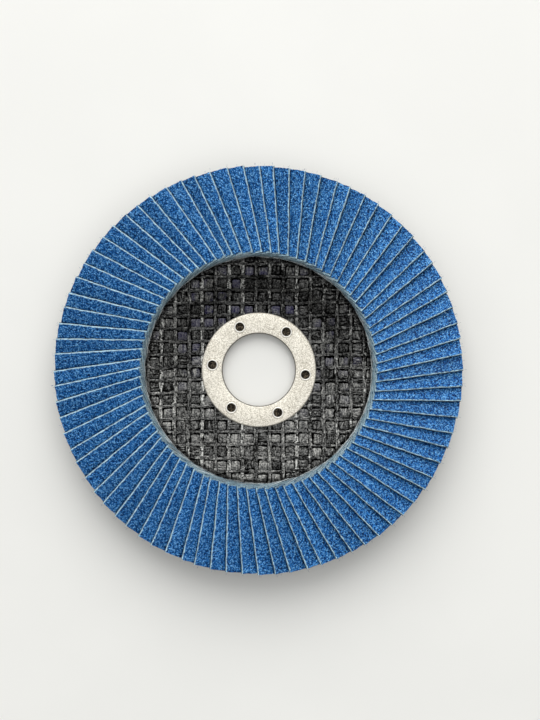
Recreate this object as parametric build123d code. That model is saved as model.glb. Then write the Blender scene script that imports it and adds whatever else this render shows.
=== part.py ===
# Flap disc for an angle grinder: abrasive-cloth flaps shingled round the rim of a dished glass-cloth
# plate and bonded in a bed of resin, with a pressed steel ring lining the bore.
# Millimetres. The origin is on the bore axis at the back face of the hub; +Z points to the abrasive side.

from build123d import *
from math import asin, atan2, cos, degrees, radians, tan
import os

# Centre ring
bore_radius = 22.23 / 2
ring_sheet = 0.8
ring_flange_radius = 17.5
ring_lip_width = 2.1
ring_lip_sheet = 0.5
ring_edge_bevel = 0.25
ring_hole_count = 6
ring_hole_radius = 1.35
ring_hole_turn = -6.0

# Backing plate
plate_radius = 56.0
plate_thickness = 2.5
hub_land = 6.5
shoulder_width = 4.5
dish_depth = 4.5

# Woven face of the plate: flat warp strands run along Y, narrower weft strands along X
strand_height = 0.32
strand_root = 0.25
warp_pitch = 4.1
warp_width = 1.25
warp_shift = -0.85
weft_pitch = 3.92
weft_width = 1.0
weft_shift = 0.8

# Abrasive flaps, going clockwise from one to the next as seen from the abrasive side
flap_count = 80
flaps_per_node = 2
flap_length = 26.45
flap_overhang = 4.45
flap_width = 18.0
flap_thickness = 0.95
flap_edge_offset = 8.65
flap_turn = 3.5
flap_embed = 0.7

# Adhesive bed
bed_rim_setback = 0.6

# Clearances
weave_ring_gap = 0.3
weave_flap_gap = 0.2
weave_overlap = 0.2
bed_weave_gap = 0.8
flap_stack_gap = 0.05

# Worked out from the sizes above
collar_radius = bore_radius + ring_sheet
lip_radius = collar_radius + ring_lip_width
flange_top = plate_thickness + ring_sheet
ring_hole_circle_radius = (bore_radius + ring_flange_radius) / 2
hub_radius = ring_flange_radius + hub_land
rim_radius = hub_radius + shoulder_width
rim_top = dish_depth + plate_thickness
shoulder_angle = atan2(dish_depth, shoulder_width)
flap_inner_end = plate_radius + flap_overhang - flap_length
weave_inner = ring_flange_radius + weave_ring_gap
weave_outer = flap_inner_end + weave_overlap
flap_step = 360 / flap_count
flap_inner_pitch = flap_inner_end * radians(flap_step)
flap_tilt = asin((flap_thickness + flap_stack_gap) / flap_inner_pitch)
flap_low_edge = flap_width * cos(flap_tilt) - flap_edge_offset
flap_root_height = rim_top + strand_height + weave_flap_gap
bed_inner = weave_outer + bed_weave_gap
bed_outer = plate_radius - bed_rim_setback
bed_top = flap_root_height + flap_embed


def dish_path(start, end, lift):
    """Hub, shoulder and rim line of the plate, parallel to its front face at a distance of lift."""
    shift = lift * tan(shoulder_angle / 2)
    hub_level = plate_thickness + lift
    rim_level = rim_top + lift
    return Polyline(
        (start, hub_level),
        (hub_radius - shift, hub_level),
        (rim_radius - shift, rim_level),
        (end, rim_level),
    )


def dish_band(start, end, low, high):
    """Solid of revolution between two lines that run parallel to the plate's front face."""
    lower = dish_path(start, end, low)
    upper = dish_path(start, end, high)
    joins = [Line(lower @ 0, upper @ 0), Line(lower @ 1, upper @ 1)]
    section = make_face(Curve() + [lower, upper, *joins])
    return revolve(Plane.XZ * section, Axis.Z)


def strands(pitch, width, shift, turn):
    """Evenly spaced strips across the whole face, along Y or turned from there."""
    count = 2 * int(weave_outer / pitch) + 3
    strip = Rectangle(width, 3 * weave_outer)
    row = Sketch() + [spot * strip for spot in GridLocations(pitch, 0, count, 1)]
    return Rot(0, 0, turn) * Pos(shift, 0) * row


def make_weave():
    """Raised strands of the glass cloth, crossing each other and following the dish."""
    cloth = strands(warp_pitch, warp_width, warp_shift, 0) + strands(weft_pitch, weft_width, weft_shift, 90)
    return dish_band(weave_inner, weave_outer, -strand_root, strand_height) & extrude(cloth, 2 * rim_top)


def make_plate():
    """Dished laminate with a woven face, a hole for the ring's collar and a recess for its lip."""
    plate = dish_band(collar_radius, plate_radius, -plate_thickness, 0)
    recess = extrude(Circle(lip_radius), ring_lip_sheet)
    return plate - recess + make_weave()


def make_ring():
    """Flat front flange, collar through the plate, and a narrow lip turned over at the back."""
    outline = Polyline(
        (bore_radius, 0),
        (lip_radius, 0),
        (lip_radius, ring_lip_sheet),
        (collar_radius, ring_lip_sheet),
        (collar_radius, plate_thickness),
        (ring_flange_radius, plate_thickness),
        (ring_flange_radius, flange_top),
        (bore_radius, flange_top),
        close=True,
    )
    section = make_face(outline)
    front_corners = section.vertices().group_by(Axis.Y)[-1]
    section = chamfer(front_corners, ring_edge_bevel)
    ring = revolve(Plane.XZ * section, Axis.Z)
    holes = PolarLocations(ring_hole_circle_radius, ring_hole_count, ring_hole_turn)
    punch = Cylinder(ring_hole_radius, 4 * ring_sheet)
    return ring - [Pos(0, 0, flange_top) * hole * punch for hole in holes]


def make_flaps():
    """Flat rectangles of coated cloth, each tilted about its low edge so that it lies on the next."""
    strip = Box(flap_length, flap_width, flap_thickness, align=(Align.MIN, Align.MAX, Align.MIN))
    low_edge = Pos(flap_inner_end, flap_low_edge, flap_root_height)
    flap = low_edge * Rot(-degrees(flap_tilt), 0, 0) * strip
    return [Rot(0, 0, flap_turn - i * flap_step) * flap for i in range(flap_count)]


def make_bed(flaps):
    """Ring of set resin on the rim, notched where the low edge of each flap sits in it."""
    outer = RegularPolygon(bed_outer, flap_count)
    inner = RegularPolygon(bed_inner, flap_count, major_radius=False)
    ring = Pos(0, 0, rim_top) * extrude(outer - inner, bed_top - rim_top)
    return Rot(0, 0, flap_turn) * ring - flaps


def write_parts():
    os.makedirs("parts", exist_ok=True)
    flaps = make_flaps()
    export_step(make_plate(), "parts/backing_plate.step")
    export_step(make_ring(), "parts/center_ring.step")
    export_step(make_bed(flaps), "parts/adhesive_bed.step")
    for first in range(0, flap_count, flaps_per_node):
        group = Compound(children=flaps[first:first + flaps_per_node])
        export_step(group, f"parts/flap_pair_{first // flaps_per_node + 1:02d}.step")


write_parts()
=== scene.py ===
# Flap disc: coated-cloth flaps on a woven glass plate, with a plated steel ring in the bore.
# The scene is in metres. The origin is on the bore axis at the back of the hub, and +Z is the working side.
# Sizes in the dictionaries are millimetres and degrees unless a note says otherwise.
# A Span is the pair of values over which a smooth step goes from 0 to 1 or from 1 to 0.
# Other pairs are the lowest and the highest value that a random draw or a pattern can give.

from math import cos, pi, radians, sin, tan

import bpy
import numpy as np
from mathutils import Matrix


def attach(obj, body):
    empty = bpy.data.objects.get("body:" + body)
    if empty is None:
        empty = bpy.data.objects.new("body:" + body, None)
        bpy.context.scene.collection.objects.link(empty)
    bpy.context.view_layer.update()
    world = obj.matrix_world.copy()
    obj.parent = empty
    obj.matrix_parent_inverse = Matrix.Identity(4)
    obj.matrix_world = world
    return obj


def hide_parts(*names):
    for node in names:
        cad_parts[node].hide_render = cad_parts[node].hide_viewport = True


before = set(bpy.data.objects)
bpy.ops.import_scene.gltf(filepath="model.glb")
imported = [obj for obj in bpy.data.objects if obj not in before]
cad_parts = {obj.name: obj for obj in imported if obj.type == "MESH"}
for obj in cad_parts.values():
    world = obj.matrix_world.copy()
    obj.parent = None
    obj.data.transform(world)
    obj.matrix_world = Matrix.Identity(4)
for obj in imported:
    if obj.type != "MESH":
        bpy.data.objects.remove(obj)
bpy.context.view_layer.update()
mm = 0.001
print("frame loaded")


# ---- node helpers ----

class Wire:
    # a node output that takes part in arithmetic, so that a formula in a tree reads as one
    def __init__(self, tree, socket):
        self.tree, self.socket = tree, socket

    def math(self, operation, *others):
        return mathWire(self.tree, operation, self, *others)


# the signs of arithmetic on a wire make Math nodes
signs = {"add": "ADD", "sub": "SUBTRACT", "mul": "MULTIPLY", "truediv": "DIVIDE", "pow": "POWER"}
for sign, operation in signs.items():
    setattr(Wire, f"__{sign}__", lambda one, other, how=operation: mathWire(one.tree, how, one, other))
    setattr(Wire, f"__r{sign}__", lambda one, other, how=operation: mathWire(one.tree, how, other, one))


def addNode(tree, kind, inputs=(), **settings):
    node = tree.nodes.new(kind)
    for name, value in settings.items():
        setattr(node, name, value)
    pairs = inputs.items() if isinstance(inputs, dict) else enumerate(inputs)
    for key, value in pairs:
        if isinstance(value, Wire):
            tree.links.new(value.socket, node.inputs[key])
        else:
            node.inputs[key].default_value = value
    return node


def wire(tree, kind, inputs=(), output=0, **settings):
    return Wire(tree, addNode(tree, kind, inputs, **settings).outputs[output])


def feed(node, inputs):
    for name, value in inputs.items():
        value.tree.links.new(value.socket, node.inputs[name])


def mathWire(tree, operation, *values):
    return wire(tree, "ShaderNodeMath", values, operation=operation)


def treeOf(*values):
    # the tree of the first wire among the values
    return next(value.tree for value in values if isinstance(value, Wire))


def combine(x=0.0, y=0.0, z=0.0):
    return wire(treeOf(x, y, z), "ShaderNodeCombineXYZ", (x, y, z))


def separate(vector):
    node = addNode(vector.tree, "ShaderNodeSeparateXYZ", (vector,))
    return [Wire(vector.tree, node.outputs[i]) for i in range(3)]


def scaled(vector, scale):
    return wire(vector.tree, "ShaderNodeVectorMath", {0: vector, "Scale": scale}, operation="SCALE")


def distance(x, y):
    return (x * x + y * y).math("SQRT")


def between(share, low, high):
    return share * (high - low) + low


def blend(first, second, share):
    return first * (1.0 - share) + second * share


def ramp(value, start, end, low=0.0, high=1.0):
    # smooth step from low to high while value goes from start to end
    inputs = (value, start, end, low, high)
    return wire(value.tree, "ShaderNodeMapRange", inputs, interpolation_type="SMOOTHSTEP")


def fade(value, start, end):
    # smooth step from 1 down to 0 while value goes from start to end
    return 1.0 - ramp(value, start, end)


def noise(vector, scale=1.0, detail=2.0, roughness=0.5):
    return wire(vector.tree, "ShaderNodeTexNoise",
                {"Vector": vector, "Scale": scale, "Detail": detail, "Roughness": roughness})


def chance(number):
    # one steady random value from 0 to 1 for each number; odd factors in the numbers only keep draws apart
    return wire(number.tree, "ShaderNodeTexWhiteNoise", {"W": number}, noise_dimensions="1D")


def mix(share, first, second, kind="MIX"):
    # 0, 6 and 7 are the node's sockets for the share and two colours, and 2 is its colour output
    inputs = {0: share, 6: first, 7: second}
    return wire(treeOf(share, second), "ShaderNodeMix", inputs, 2, data_type="RGBA", blend_type=kind)


def dimmed(tint, level):
    grey = wire(level.tree, "ShaderNodeCombineColor", (level, level, level))
    return mix(1.0, tint, grey, "MULTIPLY")


def colour(red, green, blue):
    # display values from 0 to 255, as the shader's own linear colour
    parts = [c / 255 for c in (red, green, blue)]
    return (*[c / 12.92 if c <= 0.04045 else ((c + 0.055) / 1.055) ** 2.4 for c in parts], 1.0)


socketKinds = {
    float: "NodeSocketFloat",
    int: "NodeSocketInt",
    str: "NodeSocketVector",
    type(None): "NodeSocketGeometry",
}


def newTree(name, kind, inputs, outputs, outputKind="NodeSocketFloat"):
    # inputs maps each name to its default; the text "vector" asks for a vector, and None for geometry
    tree = bpy.data.node_groups.new(name, kind)
    for socketName, value in inputs.items():
        socket = tree.interface.new_socket(socketName, in_out="INPUT", socket_type=socketKinds[type(value)])
        if isinstance(value, (int, float)):
            socket.default_value = value
    for socketName in outputs:
        tree.interface.new_socket(socketName, in_out="OUTPUT", socket_type=outputKind)
    source = addNode(tree, "NodeGroupInput")
    wires = {socketName: Wire(tree, source.outputs[socketName]) for socketName in inputs}
    return tree, wires, addNode(tree, "NodeGroupOutput")


def useGroup(tree, group, inputs):
    # places the group in a material; the node needs its tree before it has sockets
    node = addNode(tree, "ShaderNodeGroup", inputs, node_tree=group)
    return {output.name: Wire(tree, output) for output in node.outputs}


def newMaterial(name, **fixed):
    # a material with its Principled BSDF, and the uniform values set on the shader's own sockets
    material = bpy.data.materials.new(name)
    material.use_nodes = True
    tree = material.node_tree
    shader = tree.nodes["Principled BSDF"]
    for socketName, value in fixed.items():
        shader.inputs[socketName.replace("_", " ")].default_value = value
    return material, tree, shader


def bump(height, depth, strength=1.0):
    inputs = {"Height": height, "Strength": strength, "Distance": depth * mm}
    return wire(height.tree, "ShaderNodeBump", inputs)


def millimetres(tree):
    # the piece's own coordinates, in millimetres
    return scaled(wire(tree, "ShaderNodeTexCoord", output="Object"), 1 / mm)


def carried(tree, name, output="Vector"):
    # a value that the mesh carries, read in a material
    return wire(tree, "ShaderNodeAttribute", output=output, attribute_name=name)


def keep(tree, geometry, name, value, kind="FLOAT"):
    # stores a value on the points of the geometry
    return wire(tree, "GeometryNodeStoreNamedAttribute",
                {"Geometry": geometry, "Name": name, "Value": value}, data_type=kind, domain="POINT")


def recall(tree, name, kind="FLOAT"):
    return wire(tree, "GeometryNodeInputNamedAttribute", {"Name": name}, data_type=kind)


def copyTo(tree, points, thing, **more):
    # the thing at each of the points, as real geometry
    placed = wire(tree, "GeometryNodeInstanceOnPoints", {"Points": points, "Instance": thing, **more})
    return wire(tree, "GeometryNodeRealizeInstances", (placed,))


def moveTo(tree, geometry, position):
    return wire(tree, "GeometryNodeSetPosition", {"Geometry": geometry, "Position": position})


def circleOf(tree, radius, sides):
    return wire(tree, "GeometryNodeCurvePrimitiveCircle", {"Resolution": sides, "Radius": radius},
                mode="RADIUS")


def heap(tree, count):
    # points that all lie at the origin, to be placed afterwards
    return wire(tree, "GeometryNodeMeshLine", {"Count": count, "Offset": (0.0, 0.0, 0.0)})


def coloured(tree, geometry, material):
    return wire(tree, "GeometryNodeSetMaterial", {"Geometry": geometry, "Material": material})


# ---- object helpers ----

def addObject(name, data):
    thing = bpy.data.objects.new(name, data)
    bpy.context.scene.collection.objects.link(thing)
    return thing


def settle(name, tree, values, mesh=None):
    # runs a Geometry Nodes tree on a new object and leaves the result as its plain mesh
    piece = addObject(name, mesh or bpy.data.meshes.new(name))
    modifier = piece.modifiers.new(tree.name, "NODES")
    modifier.node_group = tree
    sockets = {s.name: s.identifier for s in tree.interface.items_tree if s.in_out == "INPUT"}
    for socketName, value in values.items():
        modifier[sockets[socketName]] = value
    graph = bpy.context.evaluated_depsgraph_get()
    ready = piece.evaluated_get(graph)
    made = bpy.data.meshes.new_from_object(ready, preserve_all_data_layers=True, depsgraph=graph)
    piece.modifiers.clear()
    piece.data = made
    made.name = name
    return piece


def lathe(path, segments):
    # places and quads of a closed ring, turned from a section path of (radius, height)
    turn = np.linspace(0, 2 * pi, segments, endpoint=False)
    x = path[:, 0, None] * np.cos(turn)
    y = path[:, 0, None] * np.sin(turn)
    z = np.repeat(path[:, 1, None], segments, axis=1)
    a = np.arange(len(path))[:, None] * segments + np.arange(segments)
    b = np.roll(a, -1, axis=1)
    c, d = np.roll(b, -1, axis=0), np.roll(a, -1, axis=0)
    return x, y, z, np.stack([a, d, c, b], axis=-1).reshape(-1, 4)


def meshFrom(name, x, y, z, faces):
    # a smooth mesh of quads from grids of places in millimetres
    points = np.stack([x, y, z], axis=-1).reshape(-1, 3) * mm
    mesh = bpy.data.meshes.new(name)
    mesh.vertices.add(len(points))
    mesh.vertices.foreach_set("co", np.ascontiguousarray(points, np.float32).ravel())
    mesh.loops.add(faces.size)
    mesh.loops.foreach_set("vertex_index", faces.astype(np.int32).ravel())
    mesh.polygons.add(len(faces))
    mesh.polygons.foreach_set("loop_start", np.arange(0, faces.size, 4, dtype=np.int32))
    mesh.update(calc_edges=True)
    mesh.validate()
    mesh.shade_smooth()
    return mesh


# ---- shared surface effects ----

surface = {
    "gritCells": 1.5,  # cells to a lump
    "gritCellShare": 0.38,
    "gritSpan": (0.36, 0.66),
    "fibreSpan": (0.3, 0.7),
    "fleckSpan": (0.35, 0.68),
    "cloudSpan": (0.35, 0.65),
}


def makeGritGroup():
    # lumps of coated grit with dark gaps between them
    tree, given, out = newTree("grit", "ShaderNodeTree",
                               {"Vector": "vector", "Lump": 0.7, "Softness": 0.5}, ("Mottle", "Height"))
    place = scaled(given["Vector"], 1.0 / given["Lump"])
    broad = noise(place, detail=2.5, roughness=0.62)
    gaps = wire(tree, "ShaderNodeTexVoronoi",
                {"Vector": place, "Scale": surface["gritCells"], "Smoothness": given["Softness"]},
                feature="SMOOTH_F1")
    height = blend(broad, 1.0 - gaps, surface["gritCellShare"])
    feed(out, {"Mottle": ramp(height, *surface["gritSpan"]), "Height": height})
    return tree


def makeFibreGroup():
    # long thin streaks, as in glass strand or cut cloth, along Y, or along X where Turn is 1
    tree, given, out = newTree("fibres", "ShaderNodeTree",
                               {"Vector": "vector", "Along": 0.25, "Across": 4.0, "Turn": 0.0}, ("Streak",))
    x, y, z = separate(given["Vector"])
    alongY = noise(combine(x * given["Across"], y * given["Along"], z), roughness=0.6)
    alongX = noise(combine(x * given["Along"], y * given["Across"], z), roughness=0.6)
    streak = blend(alongY, alongX, given["Turn"])
    feed(out, {"Streak": ramp(streak, *surface["fibreSpan"])})
    return tree


def makeSpeckleGroup():
    # fine flecks and broader clouds for plated metal, laminate, resin and the floor
    tree, given, out = newTree("speckle", "ShaderNodeTree",
                               {"Vector": "vector", "Fleck": 0.3, "Cloud": 3.0}, ("Flecks", "Clouds"))
    fine = noise(given["Vector"], 1.0 / given["Fleck"], roughness=0.65)
    broad = noise(given["Vector"], 1.0 / given["Cloud"], detail=3.0, roughness=0.55)
    feed(out, {
        "Flecks": ramp(fine, *surface["fleckSpan"]),
        "Clouds": ramp(broad, *surface["cloudSpan"]),
    })
    return tree


gritGroup, fibreGroup, speckleGroup = makeGritGroup(), makeFibreGroup(), makeSpeckleGroup()


def speckled(place, fleck, cloud):
    # flecks and clouds of these sizes on a material's own place
    parts = useGroup(place.tree, speckleGroup, {"Vector": place, "Fleck": fleck, "Cloud": cloud})
    return parts["Flecks"], parts["Clouds"]


def streaks(place, along, across, turn):
    return useGroup(place.tree, fibreGroup,
                    {"Vector": place, "Along": along, "Across": across, "Turn": turn})["Streak"]


print("shared effects built")


# ---- flaps ----

flapCount = 80
flap = {
    "First Flap": 0,  # set anew for each pair
    "Flaps": 2,
    "Step": 4.5,
    "Turn": 3.5,
    "Inner End": 34.0,
    "Length": 26.45,
    "Width": 18.0,
    "Thickness": 0.95,
    "Edge Offset": 8.65,
    "Root Height": 7.52,
    "Stack Gap": 0.05,
    "Mesh Along": 58,
    "Mesh Across": 24,
    "Mesh Deep": 4,
    "Edge Crowding": 1.5,  # how much closer the mesh lines lie towards the free edge
    "Edge Band": 5.0,  # how far in from the free edge it wavers
    "Edge Waver": 0.22,
    "End Band": 1.6,
    "End Ragged": 0.22,
    "End Spread": 0.14,  # how much longer or shorter a flap is at its outer end
    "Lift Waver": 0.12,
    "Inner Lift": 0.25,  # share of that waver at the inner end
    "Corner Trim": 0.34,  # how far the free corner of the outer end is cut back
    "Trim Length": 4.0,
    "Slide": 0.18,
    "Yaw": 0.3,
    "Relief": 0.07,
    "Hairs": 12,  # loose threads on each flap
    "Hair Length": 0.8,
    "Hair Radius": 0.035,
    "Hair Spread": 3.2,  # how far from the free edge they stand at the two ends
    "Fringe": 4,  # threads that have come away along each inner end
    "Fringe Length": 4.5,
    "Fringe Thickness": 1.25,  # in hairs
    "Fringe Reach": 0.2,
    "Fringe Spread": 14.0,
    "Sharp Edge": 50.0,
    "Seed": 11,
}

cloth = {
    "pit": colour(0, 26, 68),
    "coats": (  # each tint of the coat, and the Span of mottle over which it comes in
        (colour(2, 64, 130), 0.05, 0.35),
        (colour(38, 112, 182), 0.15, 0.5),
        (colour(140, 204, 250), 0.5, 1.0),
    ),
    "thread": colour(204, 240, 254),
    "threadDull": colour(166, 196, 212),
    "core": colour(20, 26, 34),
    "weft": colour(120, 128, 130),
    "weftPale": colour(240, 248, 248),
    "backing": colour(18, 28, 38),
    "lump": 0.68,
    "fineLump": 0.272,
    "fineHeight": 0.3,
    "fineMottle": 0.4,
    "toneRange": (0.88, 1.12),  # how much darker or lighter one flap is than another
    # painted shade along the line where the next flap starts to cover the coat
    "seamPaintedShade": 0.25,
    "seamShadeSpan": (0.05, 0.4),
    "threadAlong": 0.9,  # turns to a millimetre, as are the values down to rowPitch
    "threadAcross": 4.0,
    "raggedAlong": 1.5,
    "raggedAcross": 1.6,
    "beadPitch": 1.1,
    "beadSpan": (0.35, 0.65),
    "rowPitch": 0.9,
    "rowDepth": 2.2,  # turns in the thickness of a flap
    "strandSpan": (0.44, 0.6),
    "chipReach": (0.085, 0.238),
    "chipRagged": 0.55,
    "chipSpan": (-0.06, 0.06),
    "frayRagged": 1.5,
    "fraySpan": (0.35, 0.65),
    "lineWidthSpan": (0.1, 0.5),
    "faceRagged": 0.25,
    "faceSpan": (0.78, 0.9),  # shares of the thickness, as are the Spans below
    "lineRagged": 0.3,
    "lineSpan": (0.3, 0.55),
    "coreRagged": 0.5,
    "coreFromSpan": (0.2, 0.45),
    "coreToSpan": (0.65, 0.9),
    "backingSpan": (0.05, 0.2),
    "gloss": 0.74,
    "coatSheen": 0.12,
    "coatRoughness": 0.42,
    "bareRoughness": 0.87,
}


def makeClothMaterial():
    material, tree, shader = newMaterial("abrasiveCloth", Specular_IOR_Level=0.2, Coat_Roughness=0.4)
    place = millimetres(tree)
    along, across, depth = separate(carried(tree, "flapCoord"))
    tone = carried(tree, "flapTone", "Fac")

    grit = useGroup(tree, gritGroup, {"Vector": place, "Lump": cloth["lump"]})
    fine = useGroup(tree, gritGroup, {"Vector": place, "Lump": cloth["fineLump"]})
    height = blend(grit["Height"], fine["Height"], cloth["fineHeight"])
    mottle = blend(grit["Mottle"], fine["Mottle"], cloth["fineMottle"])
    coat = cloth["pit"]
    for tint, start, end in cloth["coats"]:
        coat = mix(ramp(mottle, start, end), coat, tint)
    # painted shade: the coat is dimmer where the next flap starts to cover it, as shade under that flap's
    # edge
    seam = (along + flap["Inner End"]) * tan(radians(flap["Step"])) - across
    lit = 1.0 - fade(seam, *cloth["seamShadeSpan"]) * cloth["seamPaintedShade"]
    coat = dimmed(coat, between(tone, *cloth["toneRange"]) * lit)

    # patterns on the flap's own coordinates; the factors of tone keep one flap's apart from the next one's
    spot = combine(along, across + depth * 1.2, tone * 40.0)
    thread = streaks(spot, cloth["threadAlong"], cloth["threadAcross"], 1.0)
    spot = combine(along * cloth["raggedAlong"], across * cloth["raggedAcross"], tone * 60.0)
    ragged = noise(spot, detail=3.0, roughness=0.65) - 0.5
    spot = combine(along * cloth["beadPitch"], 3.0, tone * 90.0)
    beads = ramp(noise(spot, roughness=0.6), *cloth["beadSpan"])
    spot = combine((across + along) * cloth["rowPitch"], depth * cloth["rowDepth"], tone * 70.0)
    strands = ramp(noise(spot, detail=3.0, roughness=0.65), *cloth["strandSpan"])

    # the cloth is bare along the chipped free edge, at the frayed inner end and on the cut faces
    reach = between(beads, *cloth["chipReach"])
    chipped = fade(across + ragged * cloth["chipRagged"] - reach, *cloth["chipSpan"])
    frayed = fade(along + ragged * cloth["frayRagged"], *cloth["fraySpan"])
    cutFace = fade(depth + ragged * cloth["faceRagged"], *cloth["faceSpan"])
    bare = chipped.math("MAXIMUM", frayed).math("MAXIMUM", cutFace)

    # the cut faces show the cloth's own threads, one row of them in the middle of each flap
    level = depth + ragged * cloth["coreRagged"]
    middle = ramp(level, *cloth["coreFromSpan"]) * fade(level, *cloth["coreToSpan"])
    dull = mix(strands * middle, cloth["core"], cloth["weft"])
    dull = mix(ramp(strands * middle + thread * 0.4, 0.85, 1.2), dull, cloth["weftPale"])
    # the threads of the fringe carry a place before the inner end, and are paler
    loose = fade(along, -0.7, -0.3)
    dull = mix(loose * between(strands, 0.45, 1.0), dull, cloth["weftPale"])

    # a pale line of torn thread runs along the free edge
    pale = ramp(thread * 0.5 + beads * 0.6, 0.05, 0.7)
    pale = mix(pale, cloth["threadDull"], cloth["thread"])
    line = fade(across, *cloth["lineWidthSpan"])
    line = line * ramp(depth + ragged * cloth["lineRagged"], *cloth["lineSpan"])
    pale = mix(line.math("MAXIMUM", frayed * 0.55 * (1.0 - cutFace)), dull, pale)
    pale = mix(ramp(depth, *cloth["backingSpan"]), cloth["backing"], pale)

    feed(shader, {
        "Base Color": mix(bare, coat, pale),
        "Metallic": (1.0 - bare) * cloth["gloss"],
        "Coat Weight": (1.0 - bare) * cloth["coatSheen"],
        "Roughness": between(bare, cloth["coatRoughness"], cloth["bareRoughness"]),
        "Normal": bump(height * (1.0 - bare) + thread * 0.3 * bare, depth=1.0),
    })
    return material


def makeBlocks(tree, given, index, number, seed):
    # one block of cloth for each flap, numbered round the disc, with its wavering and ragged edges
    length, width, thickness = given["Length"], given["Width"], given["Thickness"]
    block = wire(tree, "GeometryNodeMeshCube",
                 {"Size": combine(length, width, thickness), "Vertices X": given["Mesh Along"],
                  "Vertices Y": given["Mesh Across"], "Vertices Z": given["Mesh Deep"]})
    seats = keep(tree, heap(tree, given["Flaps"]), "flapNumber", given["First Flap"] + index)
    blocks = copyTo(tree, seats, block)

    # along runs out from the inner end, across runs in from the free edge, depth goes up from the back
    x, y, z = separate(wire(tree, "GeometryNodeInputPosition"))
    across = (y / width + 0.5).math("MAXIMUM", 0.0) ** given["Edge Crowding"] * width
    coord = combine(x + length * 0.5, across, z / thickness + 0.5)
    blocks = keep(tree, blocks, "flapCoord", coord, "FLOAT_VECTOR")
    along, across, depth = separate(recall(tree, "flapCoord", "FLOAT_VECTOR"))

    def waver(u, v, row):
        # smooth noise from -1 to 1 that differs from flap to flap
        place = combine(u, v, number * 5.3 + seed + row)
        return (noise(place, roughness=0.6) - 0.5) * 2.0

    def spread(number):
        # a steady random value from -1 to 1
        return (chance(number) - 0.5) * 2.0

    nearEdge = fade(across, 0.0, given["Edge Band"])
    nearStart = fade(along, 0.0, given["End Band"])
    nearEnds = nearStart.math("MAXIMUM", ramp(along, length - given["End Band"], length))
    slide = spread(number * 1.7 + seed) * given["Slide"]
    edge = waver(along * 0.16, 0.0, 1.0) + waver(along * 0.6, depth * 0.4, 2.0) * 0.8
    edge = edge * given["Edge Waver"] * nearEdge
    ragged = waver(across * 0.9, depth * 1.5, 3.0) * given["End Ragged"] * nearEnds
    longer = spread(number * 2.3 + seed + 9.0) * given["End Spread"] * ramp(along, 0.0, length)
    trim = nearEdge * ramp(along, length - given["Trim Length"], length) * given["Corner Trim"]
    lift = waver(along * 0.12, across * 0.1, 4.0) * given["Lift Waver"] * nearEdge
    lift = lift * ramp(along, 0.0, length, given["Inner Lift"], 1.0)
    relief = waver(along * 1.3, across * 1.3, 5.0) * given["Relief"] * ramp(depth, 0.6, 1.0)
    return moveTo(tree, blocks, combine(given["Inner End"] + along + ragged + longer - trim,
                                        across - width + slide + edge,
                                        depth * thickness + lift + relief))


def makeThread(tree, given):
    # one bent thread of unit height
    bend = {"Start": (0.0, 0.0, 0.0), "Middle": (0.0, 0.22, 0.5), "End": (0.0, -0.05, 1.0)}
    line = wire(tree, "GeometryNodeCurveQuadraticBezier", {"Resolution": 4, **bend})
    section = circleOf(tree, given["Hair Radius"], 4)
    return wire(tree, "GeometryNodeCurveToMesh",
                {"Curve": line, "Profile Curve": section, "Fill Caps": True})


def strew(tree, given, thread, index, perFlap, coord, place, heading, size):
    # loose threads, perFlap of them for each flap, with the place that they take their colour from
    roots = heap(tree, given["Flaps"] * perFlap)
    roots = keep(tree, roots, "flapNumber", given["First Flap"] + (index / perFlap).math("FLOOR"))
    roots = keep(tree, roots, "flapCoord", coord, "FLOAT_VECTOR")
    turned = wire(tree, "FunctionNodeAlignRotationToVector", {"Vector": heading}, axis="Z")
    return copyTo(tree, moveTo(tree, roots, place), thread, Rotation=turned, Scale=size)


def makeHairs(tree, given, thread, index, seed):
    # short loose threads at the free edge and at both ends
    strand = index + given["First Flap"] * 31.0 + seed
    pick = [chance(strand * (1.13 + 0.21 * k) + 7.7 * k) for k in range(7)]
    inner = pick[0].math("LESS_THAN", 0.42)  # 1 at the inner end
    outer = pick[0].math("GREATER_THAN", 0.62)  # 1 at the outer end; draws between these are for the edge
    along = (1.0 - inner) * blend(pick[1] * given["Length"], given["Length"], outer)
    across = (inner + outer) * pick[2] * pick[2] * given["Hair Spread"]
    depth = between(pick[3], 0.1, 0.9)
    return strew(tree, given, thread, index, given["Hairs"],
                 coord=combine(outer * 8.0, outer * 6.0, outer * 0.48 + 0.5),
                 place=combine(given["Inner End"] + along, across - given["Width"],
                               depth * given["Thickness"]),
                 heading=combine(outer - inner + (pick[4] - 0.5) * 1.1,
                                 (pick[5] - 0.75) * 1.3, (pick[6] - 0.55) * 0.6),
                 size=combine(1.0, given["Hair Length"] * pick[5],
                              given["Hair Length"] * between(pick[4], 0.25, 1.0)))


def makeFringe(tree, given, thread, index, seed):
    # longer threads that lie along the cut inner ends
    strand = index + given["First Flap"] * 17.0 + seed + 5.0
    pick = [chance(strand * (1.37 + 0.19 * k) + 3.3 * k) for k in range(6)]
    thick = given["Fringe Thickness"] * between(pick[5], 0.6, 1.3)
    return strew(tree, given, thread, index, given["Fringe"],
                 coord=combine(-1.0, between(pick[5], 2.0, 11.0), 0.5),
                 place=combine(given["Inner End"] - pick[0] * given["Fringe Reach"],
                               pick[1] * given["Fringe Spread"] - given["Width"],
                               pick[2] * given["Thickness"]),
                 heading=combine((pick[3] - 0.4) * 0.16, 1.0, (pick[4] - 0.5) * 0.3),
                 size=combine(thick, thick, given["Fringe Length"] * between(pick[4], 0.4, 1.3)))


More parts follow.
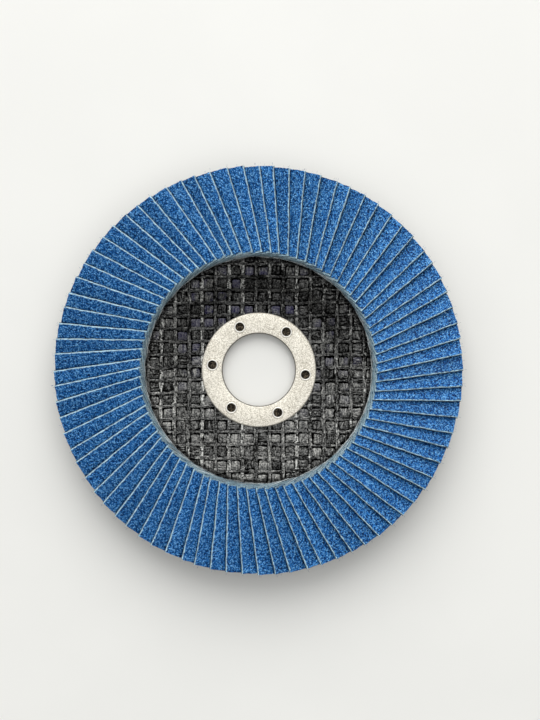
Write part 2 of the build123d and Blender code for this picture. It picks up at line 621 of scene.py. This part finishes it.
def makeFlapTree(material):
    tree, given, out = newTree("flapPair", "GeometryNodeTree", flap, ("Geometry",), "NodeSocketGeometry")
    index = wire(tree, "GeometryNodeInputIndex")
    number = recall(tree, "flapNumber")
    seed = given["Seed"] * 3.17
    thread = makeThread(tree, given)
    joined = addNode(tree, "GeometryNodeJoinGeometry")
    feed(joined, {"Geometry": makeHairs(tree, given, thread, index, seed)})
    feed(joined, {"Geometry": makeFringe(tree, given, thread, index, seed)})
    feed(joined, {"Geometry": makeBlocks(tree, given, index, number, seed)})

    # tilt each flap about its low edge, so that it lies on the next one, then turn it to its seat
    innerPitch = given["Inner End"] * given["Step"].math("RADIANS")
    tilt = ((given["Thickness"] + given["Stack Gap"]) / innerPitch).math("ARCSINE")
    lowEdge = given["Width"] * tilt.math("COSINE") - given["Edge Offset"]
    x, y, z = separate(wire(tree, "GeometryNodeInputPosition"))
    tilted = combine(x,
                     y * tilt.math("COSINE") + z * tilt.math("SINE") + lowEdge,
                     z * tilt.math("COSINE") - y * tilt.math("SINE") + given["Root Height"])
    yaw = (chance(number * 3.1 + seed + 21.0) - 0.5) * 2.0 * given["Yaw"]
    angle = (given["Turn"] - number * given["Step"] + yaw).math("RADIANS")
    seated = wire(tree, "ShaderNodeVectorRotate", {"Vector": tilted, "Angle": angle},
                  rotation_type="Z_AXIS")
    pair = moveTo(tree, Wire(tree, joined.outputs[0]), scaled(seated, mm))
    pair = keep(tree, pair, "flapTone", chance(number * 4.9 + seed + 33.0))

    sharp = given["Sharp Edge"].math("RADIANS")
    corner = wire(tree, "GeometryNodeInputMeshEdgeAngle").math("GREATER_THAN", sharp)
    pair = wire(tree, "GeometryNodeSetShadeSmooth", {"Geometry": pair, "Shade Smooth": True}, domain="FACE")
    pair = wire(tree, "GeometryNodeSetShadeSmooth",
                {"Geometry": pair, "Selection": corner, "Shade Smooth": False}, domain="EDGE")
    feed(out, {"Geometry": coloured(tree, pair, material)})
    return tree


def makeFlaps():
    tree = makeFlapTree(makeClothMaterial())
    pairs = []
    for first in range(0, flapCount, flap["Flaps"]):
        number = first // flap["Flaps"] + 1
        pair = settle(f"flapPair{number:02d}", tree, {**flap, "First Flap": first})
        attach(pair, "root")
        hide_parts(f"flap_pair_{number:02d}")
        pairs.append(pair)
    return pairs


flapPairs = makeFlaps()
print("flaps laid:", len(flapPairs), "pairs of", len(flapPairs[0].data.polygons), "faces")


# ---- backing plate ----

plate = {
    "hole": 11.915,
    "rimRadius": 56.0,
    "thickness": 2.5,
    "hubRadius": 24.0,
    "shoulderRadius": 28.5,
    "dish": 4.5,
    "lipRadius": 14.015,  # the ring's lip lies in the back up to here
    "lipDepth": 0.5,
    "clothFrom": 17.0,
    "clothTo": 35.2,
    "plainTo": 16.8,  # the relief of the cloth starts here
    "reliefIn": 0.6,  # and is full so much further out
    "edgeRound": 0.25,
    "holeRound": 0.1,
    "rowGap": 0.4,
    "hubRows": (14.5, 16.6),  # radii of the mesh rows under the ring
    "rimRows": (36.0, 40.0, 46.0, 52.0),
    "frontStep": 0.25,
    "backStep": 1.1,
    "backRelief": 0.6,
    "segments": 640,
    "sharpEdge": 60.0,
}

weave = {
    "warpPitch": 4.1,
    "warpHalf": 0.6,
    "warpShift": -0.85,
    "weftPitch": 3.92,
    "weftHalf": 0.56,
    "weftShift": 0.8,
    "padHalfX": 1.37,
    "padHalfY": 1.31,
    "padRound": 0.6,
    "strandHeight": 0.34,
    "crossing": 0.1,
    "warpCrown": 0.2,  # how much lower a strand is at its sides, as a share
    "weftCrown": 0.25,
    "padHeight": (0.168, 0.312),
    "padSlopeSpan": (0.55, 1.1),
    "rough": 0.02,
    "roughScale": 1.6,  # turns to a millimetre
    "edgeSoft": 0.1,
    "wander": 0.2,
    "seed": 5,
}

strandLook = {  # how the material tells the strands and pads of the weave apart
    "wobbleScale": 0.75,
    "edgeWobble": 0.9,
    "padWobble": 0.7,
    "warpRiding": 0.55,  # draws above this lie over the weft
    "warpWidth": (0.85, 1.15),
    "weftWidth": (0.7, 1.1),
    "warpBow": 0.25,
    "weftBow": 0.3,
    "ridingLift": (0.85, 1.15),
    "padShiftX": (-0.15, 0.15),
    # pads sit a little low in their cells on average, so the black groove along their top, painted shadow
    # of the weft above, is wider
    "padShiftYPaintedShade": (-0.025, 0.225),
    "padWidth": (0.85, 1.15),
    "padEdgeSpan": (0.85, 1.05),
    "padDomeSpan": (0.0, 1.2),
    "domeHeight": 0.72,
    "padTurned": 0.62,  # draws above this have their fibres along X
    "padShade": (0.2, 0.95),
    "warpShade": (0.45, 1.05),
    "weftShade": (0.25, 0.65),
    "ridingShade": 0.25,
    "bright": (0.25, 1.1),
    "ridingDim": 0.75,
}

laminate = {
    # black for painted shade in the gaps between the strands and pads of the weave
    "grooveShade": colour(0, 0, 0),
    "resin": colour(15, 15, 14),
    "strand": colour(100, 100, 98),
    "strandPale": colour(172, 171, 165),
    # near white of the painted glints on the strands
    "fleck": colour(232, 232, 225),
    "bareResin": colour(28, 26, 24),
    "bareFibre": colour(120, 108, 90),
    # painted reflection of the blue flaps on the shaded side of the plate
    "reflectedBlue": colour(34, 26, 92),
    "fibreAlong": 0.4,
    "fibreAcross": 2.2,
    "fleckSize": 0.55,
    "cloudSize": 6.0,
    "grainScale": 2.6,
    "grainSpan": (0.34, 0.66),
    "toneShares": (0.42, 0.33, 0.25),  # of streaks, flecks and grain
    "litSpan": (0.43, 0.84),
    "paleSpan": (0.4, 0.95),
    "glintSpan": (0.42, 0.7),
    # painted shade: the plate is darker towards +Y and a little lighter towards -Y
    "topShadeSpan": (-22.0, 30.0),
    "topShadeWander": 12.0,
    "topShadeDim": 0.7,
    "topShadeLevel": 1.12,
    "frontSpan": (5.2, 5.8),  # heights between the back of the rim and its front
    "frayedSpan": (29.2, 33.7),
    # painted shade along the foot of the flaps
    "footSpan": (32.6, 33.7),
    "footShade": 0.8,
    "reflectedBlueSpan": (0.75, 0.95),
    "reflectedBlueShare": 0.4,
    "hubSpan": (17.0, 18.0),
    "hubGrainSpan": (0.45, 0.7),
    "gloss": 0.3,
}


def smooth(value, start, end):
    # the same smooth step as ramp, on arrays
    t = np.clip((value - start) / (end - start), 0, 1)
    return t * t * (3 - 2 * t)


def lattice(i, j, salt):
    # a steady random value from 0 to 1 for each whole pair (i, j), by the usual sine hash
    mixed = np.sin(i * 127.1 + j * 311.7 + salt * 74.7 + weave["seed"]) * 43758.5453
    return mixed - np.floor(mixed)


def drift(x, y, salt):
    # smooth noise from -1 to 1, with about one turn per unit
    i, j = np.floor(x), np.floor(y)
    u, v = smooth(x - i, 0, 1), smooth(y - j, 0, 1)
    low = lattice(i, j, salt) * (1 - u) + lattice(i + 1, j, salt) * u
    high = lattice(i, j + 1, salt) * (1 - u) + lattice(i + 1, j + 1, salt) * u
    return 2 * (low * (1 - v) + high * v) - 1


def clothPlace(x, y):
    # place on the cloth in strands: whole numbers lie on the middle of a warp or a weft strand
    wander = weave["wander"]
    across = (x + wander * drift(x / 13, y / 7, 1) - weave["warpShift"]) / weave["warpPitch"]
    up = (y + wander * 1.5 * drift(x / 6, y / 11, 2) - weave["weftShift"]) / weave["weftPitch"]
    return across, up


def clothRelief(across, up, x, y):
    # height of the glass cloth above the plate: strands that cross, and a pad of fibre in each cell
    w, soft = weave, weave["edgeSoft"]
    i, j = np.round(across), np.round(up)
    dx, dy = (across - i) * w["warpPitch"], (up - j) * w["weftPitch"]
    warp = 1 - smooth(np.abs(dx), w["warpHalf"] - soft, w["warpHalf"] + soft)
    weft = 1 - smooth(np.abs(dy), w["weftHalf"] - soft, w["weftHalf"] + soft)
    onTop = np.where(lattice(i, 0, 5) > strandLook["warpRiding"], 1.0, -1.0) * w["crossing"]
    warp = warp * (w["strandHeight"] + onTop * np.exp(-dy ** 2))
    warp = warp * (1 - w["warpCrown"] * (dx / w["warpHalf"]) ** 2)
    weft = weft * (w["strandHeight"] - onTop * np.exp(-dx ** 2))
    weft = weft * (1 - w["weftCrown"] * (dy / w["weftHalf"]) ** 2)
    m, n = np.floor(across), np.floor(up)
    cx = np.abs((across - m - 0.5) * w["warpPitch"]) / w["padHalfX"]
    cy = np.abs((up - n - 0.5) * w["weftPitch"]) / w["padHalfY"]
    pad = between(lattice(m, n, 7), *w["padHeight"])
    pad = pad * (1 - smooth((cx ** 4 + cy ** 4) ** 0.25, *w["padSlopeSpan"]))
    height = np.maximum(np.maximum(warp, weft), pad)
    return np.maximum(height + w["rough"] * drift(x * w["roughScale"], y * w["roughScale"], 8), 0)


def platePath():
    # the plate's section from the hole along the front, over the rim and back along the rear: radius,
    # height and share of cloth relief, which is negative on the back
    p = plate
    hole, rim, lip, turned = p["hole"], p["rimRadius"], p["lipRadius"], p["edgeRound"]
    top, rear, hubTop = p["thickness"] + p["dish"], p["dish"], p["thickness"]
    slope = (p["shoulderRadius"] - p["hubRadius"]) / p["dish"]
    rearShift = p["thickness"] * tan(0.5 * (pi / 2 - np.arctan(slope)))
    hubRear, rimRear = p["hubRadius"] + rearShift, p["shoulderRadius"] + rearShift

    def risen(r, start, end):
        # how far the dish has risen at a radius
        return p["dish"] * np.clip((r - start) / (end - start), 0, 1)

    points = [(hole, p["lipDepth"] + p["rowGap"], 0.0), (hole, hubTop - p["holeRound"], 0.0),
              (hole + p["holeRound"], hubTop, 0.0)]
    points += [(r, hubTop, 0.0) for r in p["hubRows"]]
    frontRows = np.arange(p["clothFrom"], p["clothTo"] + 1e-6, p["frontStep"])
    points += [(r, hubTop + risen(r, p["hubRadius"], p["shoulderRadius"]),
                min(1.0, (r - p["plainTo"]) / p["reliefIn"])) for r in frontRows]
    points += [(r, top, 0.0) for r in (*p["rimRows"], rim - turned)]
    points += [(rim - turned * 0.3, top - turned * 0.3, 0.0), (rim, top - turned, 0.0)]
    points += [(rim, z, 0.0) for z in np.linspace(top - 0.8, rear + 0.8, 3)]
    points += [(rim, rear + turned, 0.0), (rim - turned * 0.3, rear + turned * 0.3, 0.0)]
    backRows = np.arange(rim - turned, lip + 0.3, -p["backStep"])
    points += [(r, risen(r, hubRear, rimRear), -1.0) for r in backRows]
    points += [(lip, 0.05, 0.0), (lip, p["lipDepth"], 0.0)]
    points += [(hole + p["rowGap"], p["lipDepth"], 0.0), (hole, p["lipDepth"], 0.0)]
    return np.array(points)


def makeWeaveGroup():
    # which strand or pad each point lies on, from its place on the cloth
    w, s, soft = weave, strandLook, weave["edgeSoft"]
    tree, given, out = newTree("weave", "ShaderNodeTree", {"Place": "vector", "Vector": "vector"},
                               ("Strand", "Pad", "Height", "Turn", "Shade", "Bright"))
    across, up, _ = separate(given["Place"])
    wobble = wire(tree, "ShaderNodeTexNoise",
                  {"Vector": given["Vector"], "Scale": s["wobbleScale"], "Detail": 2.0}, output="Color")
    wobble = [part - 0.5 for part in separate(wobble)]

    i, j = across.math("ROUND"), up.math("ROUND")
    dx = (across - i) * w["warpPitch"] + wobble[0] * s["edgeWobble"]
    dy = (up - j) * w["weftPitch"] + wobble[1] * s["edgeWobble"]
    width = between(chance(i * 3.3 + j * 17.9), *s["warpWidth"])
    warp = fade(dx.math("ABSOLUTE") / width, w["warpHalf"] - soft, w["warpHalf"] + soft)
    width = between(chance(i * 13.7 + j * 5.1 + 0.5), *s["weftWidth"])
    weft = fade(dy.math("ABSOLUTE") / width, w["weftHalf"] - soft, w["weftHalf"] + soft)
    riding = chance(i * 7.1 + 3.0).math("GREATER_THAN", s["warpRiding"])
    low, high = s["ridingLift"]
    ribWarp = warp * (1.0 - (dx / w["warpHalf"]) ** 2.0 * s["warpBow"]) * between(riding, low, high)
    ribWeft = weft * (1.0 - (dy / w["weftHalf"]) ** 2.0 * s["weftBow"]) * between(riding, high, low)
    weftTop = ribWeft.math("GREATER_THAN", ribWarp)

    m, n = across.math("FLOOR"), up.math("FLOOR")
    cell = m * 5.9 + n * 23.3
    spread = [chance(cell + 41.0 * k) for k in range(5)]
    cx = (across - m - 0.5) * w["warpPitch"] + wobble[2] * s["padWobble"]
    cx = cx + between(spread[0], *s["padShiftX"])
    cy = (up - n - 0.5) * w["weftPitch"] + wobble[0] * s["padWobble"]
    # the downward bias widens the painted shadow along the top of each pad
    cy = cy + between(spread[1], *s["padShiftYPaintedShade"])
    halfX = (w["padHalfX"] - w["padRound"]) * between(spread[2], *s["padWidth"])
    halfY = (w["padHalfY"] - w["padRound"]) * between(spread[3], *s["padWidth"])
    past = [(c.math("ABSOLUTE") - half).math("MAXIMUM", 0.0) for c, half in ((cx, halfX), (cy, halfY))]
    edge = distance(*past) / w["padRound"]
    pad = fade(edge, *s["padEdgeSpan"])
    dome = fade(edge, *s["padDomeSpan"]) * s["domeHeight"]

    strand = warp.math("MAXIMUM", weft)
    padHere = pad * (1.0 - strand)
    warpTop = (1.0 - weftTop) * warp
    warpShade = between(chance(i * 11.3 + j * 2.9 + 7.0), *s["warpShade"]) - riding * s["ridingShade"]
    weftShade = between(chance(i * 1.9 + j * 9.3 + 5.0), *s["weftShade"])
    padShade = between(spread[1], *s["padShade"])
    bright = between(chance(i * 3.7 + n * 8.9 + 11.0), *s["bright"])  # changes along each warp strand
    feed(out, {
        "Strand": strand,
        "Pad": padHere,
        "Height": ribWarp.math("MAXIMUM", ribWeft).math("MAXIMUM", dome * pad),
        "Turn": weftTop * strand + spread[4].math("GREATER_THAN", s["padTurned"]) * padHere,
        "Shade": blend(weftShade, warpShade, warpTop) * strand + padShade * padHere,
        "Bright": warpTop * (1.0 - riding * s["ridingDim"]) * bright,
    })
    return tree


def makePlateMaterial():
    look = laminate
    material, tree, shader = newMaterial("glassLaminate", Specular_IOR_Level=0.0, Coat_Roughness=0.3)
    place = millimetres(tree)
    x, y, z = separate(place)
    reach = distance(x, y)
    cloths = carried(tree, "cloth")
    _, _, woven = separate(cloths)
    parts = useGroup(tree, makeWeaveGroup(), {"Place": cloths, "Vector": place})
    covered = parts["Strand"].math("MAXIMUM", parts["Pad"]) * woven
    streak = streaks(place, look["fibreAlong"], look["fibreAcross"], parts["Turn"])
    flecks, clouds = speckled(place, look["fleckSize"], look["cloudSize"])
    grain = noise(place, look["grainScale"], roughness=0.7)
    streakShare, fleckShare, grainShare = look["toneShares"]
    tone = streak * streakShare + flecks * fleckShare + ramp(grain, *look["grainSpan"]) * grainShare

    lit = ramp(tone + parts["Shade"] * 0.5, *look["litSpan"])
    fibre = mix(lit, look["resin"], look["strand"])
    pale = ramp(tone * (parts["Shade"] + 0.4), *look["paleSpan"])
    fibre = mix(pale, fibre, look["strandPale"])
    # the strands fray at the outer end of the front; thick is painted shade that makes the plate darker
    # towards +Y and a little lighter towards -Y, and it is weaker where the strands fray
    front = ramp(z, *look["frontSpan"])
    frayed = ramp(reach, *look["frayedSpan"]) * front
    # painted shade, darker towards +Y
    thick = ramp(y + (clouds - 0.5) * look["topShadeWander"], *look["topShadeSpan"])
    thick = thick * (1.0 - frayed * 0.6)
    fibre = dimmed(fibre, look["topShadeLevel"] - thick * look["topShadeDim"])
    # painted reflection: some pads on the shaded +Y side take a blue-violet tint, as of the blue flaps seen
    # in them
    paintedBlueReflection = parts["Pad"] * thick * ramp(parts["Shade"] + clouds * 0.3, *look["reflectedBlueSpan"])
    fibre = mix(paintedBlueReflection * look["reflectedBlueShare"], fibre, look["reflectedBlue"])
    # painted highlight: pale glints on the bright warp strands and on the frayed fibre near the flaps,
    # dimmed by the painted shade
    glint = ramp(tone * (parts["Bright"] * 0.5 + frayed * 0.22 + 0.55), *look["glintSpan"])
    fibre = mix(glint * (1.0 - thick * 0.35), fibre, look["fleck"])
    # painted shade: dark where the flaps stand on the plate
    footShadeMask = ramp(reach, *look["footSpan"]) * front
    fibre = mix(footShadeMask * look["footShade"], fibre, look["resin"])

    hub = fade(reach, *look["hubSpan"])
    bareShare = ramp(grain, *look["hubGrainSpan"]) * hub
    # painted shade: on the weave, the gaps between strands and pads are painted black; off it, the hub
    # shows bare resin and fibre
    plain = mix(woven, mix(bareShare, look["bareResin"], look["bareFibre"]), look["grooveShade"])
    relief = parts["Height"] * woven + streak * covered * 0.4 + grain * 0.25
    feed(shader, {
        "Base Color": mix(covered, plain, fibre),
        "Roughness": 0.58 - covered * 0.2 + clouds * 0.08,
        "Coat Weight": covered * lit * lit * look["gloss"],
        "Normal": bump(relief, depth=0.6),
    })
    return material


def makePlate():
    path = platePath()
    x, y, z, faces = lathe(path, plate["segments"])
    woven, rear = np.clip(path[:, 2, None], 0, 1), np.clip(-path[:, 2, None], 0, 1)
    across, up = clothPlace(x, y)
    relief = clothRelief(across, up, x, y)
    rearRelief = (weave["strandHeight"] + weave["crossing"] - relief) * plate["backRelief"]
    mesh = meshFrom("backingPlate", x, y, z + relief * woven + rearRelief * rear, faces)
    cloth = np.stack([across, up, np.repeat(np.maximum(woven, rear), plate["segments"], axis=1)], axis=-1)
    cloths = mesh.attributes.new("cloth", "FLOAT_VECTOR", "POINT")
    cloths.data.foreach_set("vector", cloth.reshape(-1).astype(np.float32))
    mesh.set_sharp_from_angle(angle=radians(plate["sharpEdge"]))
    mesh.materials.append(makePlateMaterial())
    piece = addObject("backingPlate", mesh)
    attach(piece, "root")
    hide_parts("backing_plate")
    return piece


platePiece = makePlate()
print("plate woven:", len(platePiece.data.polygons), "faces")


# ---- centre ring ----

ring = {
    "Hole Circle": 14.3075,
    "Hole Radius": 1.35,
    "Hole Turn": -6.0,
    "Holes": 6,
    "Hole Sides": 48,
    "Punch Depth": 6.0,
    "Flange Top": 3.3,
    "Rim Radius": 0.2,
    "Rim Seat": 0.92,  # how far outside the hole the middle of the rim lies, in rim radii
    "Rim Sides": 14,
    "Rim Rise": 0.04,
}
ringBody = {
    "bore": 11.115,
    "sheet": 0.8,
    "flange": 17.5,
    "lipRadius": 14.015,
    "lipSheet": 0.5,
    "plateTop": 2.5,
    "edgeRound": 0.45,
    "roundSteps": 5,
    "boreRow": 1.2,  # height of a mesh row inside the bore
    "flangeRow": 14.3,  # radius of a mesh row on the flange
    "segments": 256,
    "sharpEdge": 35.0,
}
plating = {
    "light": colour(248, 243, 229),
    "dark": colour(176, 168, 150),
    # the pale colour of the painted highlight on the hole rims
    "rim": colour(246, 243, 234),
    "shade": colour(70, 66, 60),
    "fleckSize": 0.34,
    "cloudSize": 4.0,
    "fleckShare": 0.75,
    "cloudShare": 0.15,
    "markRadius": 1.65,
    "markTurn": 15.0,
    "markWidth": 0.16,
    "markScale": 0.35,
    "markSpan": (0.45, 0.6),
    "markShare": 0.35,
    "rimHighlightSpan": (0.3, 0.42),  # distances from the edge of a hole
    "shadeLineRadius": 0.52,
    "shadeLineWidth": 0.16,
    "shadeLineShare": 0.35,
    "boreSpan": (0.12, 0.3),  # distances from the bore
    "boreShade": 0.8,
}


def rounded(corner, before, after):
    # arc points in place of a square corner, from the side of before to the side of after
    corner, before, after = (np.array(p, float) for p in (corner, before, after))
    a, b = before - corner, after - corner
    a, b = a / np.linalg.norm(a), b / np.linalg.norm(b)
    radius = ringBody["edgeRound"]
    centre = corner + (a + b) * radius
    sweep = np.linspace(0, pi / 2, ringBody["roundSteps"])
    return [tuple(centre - b * radius * np.cos(t) - a * radius * np.sin(t)) for t in sweep]


def holeDistance(place, turn):
    # distance from the nearest of the points on the hole circle at this turn, one for each hole
    x, y, _ = separate(place)
    step = 2 * pi / ring["Holes"]
    angle = y.math("ARCTAN2", x) - radians(turn)
    folded = (angle / step - (angle / step).math("ROUND")) * step
    reach = distance(x, y)
    return distance(folded.math("SINE") * reach, folded.math("COSINE") * reach - ring["Hole Circle"])


def ringLine(away, radius, width):
    # 1 on a circle of this radius, falling to 0 at width from it
    return fade((away - radius).math("ABSOLUTE"), width * 0.3, width)


def makeRingMaterial():
    look = plating
    material, tree, shader = newMaterial("nickelPlate", Metallic=0.6)
    place = millimetres(tree)
    flecks, clouds = speckled(place, look["fleckSize"], look["cloudSize"])
    # faint circles that the punch left beside each hole
    marks = ringLine(holeDistance(place, look["markTurn"]), look["markRadius"], look["markWidth"])
    marks = marks * ramp(noise(place, look["markScale"], detail=1.0), *look["markSpan"])
    away = holeDistance(place, ring["Hole Turn"]) - ring["Hole Radius"]
    # painted highlight: a plain pale band on the rolled rim of each hole; painted shade: a thin darker line
    # at the rim's foot
    rim = fade(away, *look["rimHighlightSpan"])
    footShadeMask = ringLine(away, look["shadeLineRadius"], look["shadeLineWidth"])
    share = flecks * look["fleckShare"] + clouds * look["cloudShare"] + marks * look["markShare"]
    share = share * (1.0 - rim) + footShadeMask * look["shadeLineShare"]
    plated = mix(rim, mix(share, look["light"], look["dark"]), look["rim"])
    # painted shade: darker where the flange rolls over into the bore
    x, y, _ = separate(place)
    boreShadeLine = fade(distance(x, y) - ringBody["bore"], *look["boreSpan"])
    feed(shader, {
        "Base Color": mix(boreShadeLine * look["boreShade"], plated, look["shade"]),
        "Roughness": between(flecks, 0.38, 0.54),
        "Normal": bump(flecks * -0.6 * (1.0 - rim) - marks, depth=0.1, strength=0.6),
    })
    return material


def makeRingTree(material):
    tree, given, out = newTree("punchedRing", "GeometryNodeTree", {"Blank": None, **ring},
                               ("Geometry",), "NodeSocketGeometry")
    seats = wire(tree, "GeometryNodeMeshCircle",
                 {"Vertices": given["Holes"], "Radius": given["Hole Circle"] * mm})
    seats = wire(tree, "GeometryNodeTransform",
                 {"Geometry": seats, "Translation": combine(z=given["Flange Top"] * mm),
                  "Rotation": combine(z=given["Hole Turn"].math("RADIANS"))})
    punch = wire(tree, "GeometryNodeMeshCylinder",
                 {"Vertices": given["Hole Sides"], "Radius": given["Hole Radius"] * mm,
                  "Depth": given["Punch Depth"] * mm})
    punches = copyTo(tree, seats, punch)
    rimMiddle = given["Hole Radius"] + given["Rim Radius"] * given["Rim Seat"]
    line = circleOf(tree, rimMiddle * mm, given["Hole Sides"])
    bead = circleOf(tree, given["Rim Radius"] * mm, given["Rim Sides"])
    rim = wire(tree, "GeometryNodeCurveToMesh", {"Curve": line, "Profile Curve": bead})
    rims = wire(tree, "GeometryNodeSetPosition",
                {"Geometry": copyTo(tree, seats, rim), "Offset": combine(z=given["Rim Rise"] * mm)})
    punched = addNode(tree, "GeometryNodeMeshBoolean", operation="DIFFERENCE", solver="EXACT")
    feed(punched, {"Mesh 1": given["Blank"], "Mesh 2": punches})
    united = addNode(tree, "GeometryNodeMeshBoolean", operation="UNION", solver="EXACT")
    feed(united, {"Mesh 2": Wire(tree, punched.outputs[0])})
    feed(united, {"Mesh 2": rims})
    feed(out, {"Geometry": coloured(tree, Wire(tree, united.outputs[0]), material)})
    return tree


def makeRing():
    b = ringBody
    bore, flange, lip, under = b["bore"], b["flange"], b["lipRadius"], b["plateTop"]
    top, collar = under + b["sheet"], bore + b["sheet"]
    path = [(bore, 0.0), (bore, b["boreRow"]),
            *rounded((bore, top), (bore, 0), (flange, top)), (b["flangeRow"], top),
            *rounded((flange, top), (bore, top), (flange, under)), (flange, under),
            (collar, under), (collar, b["lipSheet"]), (lip, b["lipSheet"]), (lip, 0.0)]
    blank = meshFrom("centreRing", *lathe(np.array(path), b["segments"]))
    piece = settle("centreRing", makeRingTree(makeRingMaterial()), ring, blank)
    piece.data.shade_smooth()
    piece.data.set_sharp_from_angle(angle=radians(b["sharpEdge"]))
    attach(piece, "root")
    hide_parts("center_ring")
    return piece


ringPiece = makeRing()
print("ring punched:", len(ringPiece.data.polygons), "faces")


# ---- resin bed ----

resin = {
    "dark": colour(24, 24, 26),
    "light": colour(58, 56, 52),
    "lightShare": 0.6,
    "fleckSize": 0.8,
    "cloudSize": 5.0,
    "roughness": (0.4, 0.65),
}


def makeResinMaterial():
    material, tree, shader = newMaterial("setResin", Coat_Roughness=0.3)
    flecks, clouds = speckled(millimetres(tree), resin["fleckSize"], resin["cloudSize"])
    feed(shader, {
        "Base Color": mix(flecks * resin["lightShare"], resin["dark"], resin["light"]),
        "Roughness": between(clouds, *resin["roughness"]),
        "Normal": bump(flecks * 0.6 + clouds, depth=0.3, strength=0.6),
    })
    return material


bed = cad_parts["adhesive_bed"]
bed.data.materials.clear()
bed.data.materials.append(makeResinMaterial())
print("resin set")


# ---- floor, light and camera ----

studio = {
    "floor": colour(233, 232, 226),
    "floorSize": 16.0,  # metres
    "floorLevel": (0.98, 1.0),  # brightness of its clouds
    "floorFleck": 1.5,
    "floorCloud": 60.0,
    "lampSize": 1.6,  # metres
    "lampDistance": 1.5,  # metres
    "keyTurn": 90.0,  # where the key lamp stands, anticlockwise from +X
    "keyRise": 43.0,
    "keyPower": 18.0,  # watts
    "fillTurn": -35.0,
    "fillRise": 80.0,
    "fillPower": 5.0,  # watts
    "sky": colour(240, 242, 246),
    "skyStrength": 0.54,
    "skyTurn": 100.0,
    "skySlope": 0.8,  # how much brighter the room's lit side is, and how much darker the other
    "skyLean": 0.1,
    "skySeen": 0.9,
    "lens": 64.96,
    "cameraPlace": (0.0034, 0.0030, 0.400),  # metres
}


def makeFloor():
    half = studio["floorSize"] / 2
    corners = [(-half, -half, 0), (half, -half, 0), (half, half, 0), (-half, half, 0)]
    mesh = bpy.data.meshes.new("floor")
    mesh.from_pydata(corners, [], [(0, 1, 2, 3)])
    material, tree, shader = newMaterial("paleFloor", Roughness=0.6)
    _, clouds = speckled(millimetres(tree), studio["floorFleck"], studio["floorCloud"])
    feed(shader, {"Base Color": dimmed(studio["floor"], between(clouds, *studio["floorLevel"]))})
    mesh.materials.append(material)
    floor = addObject("floor", mesh)


def makeLamp(name, turn, rise, power):
    lamp = bpy.data.lights.new(name, "AREA")
    lamp.shape, lamp.size, lamp.energy = "DISK", studio["lampSize"], power
    holder = addObject(name, lamp)
    turn, rise, far = radians(turn), radians(rise), studio["lampDistance"]
    holder.location = (far * cos(rise) * cos(turn), far * cos(rise) * sin(turn), far * sin(rise))
    holder.rotation_mode = "QUATERNION"
    holder.rotation_quaternion = holder.location.to_track_quat("Z", "Y")


def makeSky():
    # a pale room that is brighter on the side of the key lamp, and that the camera sees as one plain tone
    world = bpy.data.worlds.new("sky")
    world.use_nodes = True
    tree = world.node_tree
    background = tree.nodes["Background"]
    background.inputs["Color"].default_value = studio["sky"]
    turn = radians(studio["skyTurn"])
    heading = (cos(turn), sin(turn), studio["skyLean"])
    direction = wire(tree, "ShaderNodeTexCoord", output="Generated")
    side = wire(tree, "ShaderNodeVectorMath", {0: direction, 1: heading}, "Value", operation="DOT_PRODUCT")
    seen = wire(tree, "ShaderNodeLightPath", output="Is Camera Ray")
    level = (side * studio["skySlope"] + 1.0).math("MAXIMUM", 0.0) * studio["skyStrength"]
    feed(background, {"Strength": level * (1.0 - seen) + seen * studio["skySeen"]})
    return world


def makeCamera():
    lens = bpy.data.cameras.new("camera")
    lens.lens = studio["lens"]
    camera = addObject("camera", lens)
    camera.location = studio["cameraPlace"]
    return camera


makeFloor()
makeLamp("keyLamp", studio["keyTurn"], studio["keyRise"], studio["keyPower"])
makeLamp("fillLamp", studio["fillTurn"], studio["fillRise"], studio["fillPower"])
scene = bpy.context.scene
scene.world = makeSky()
scene.camera = makeCamera()
scene.view_settings.view_transform = "Standard"
print("studio ready")
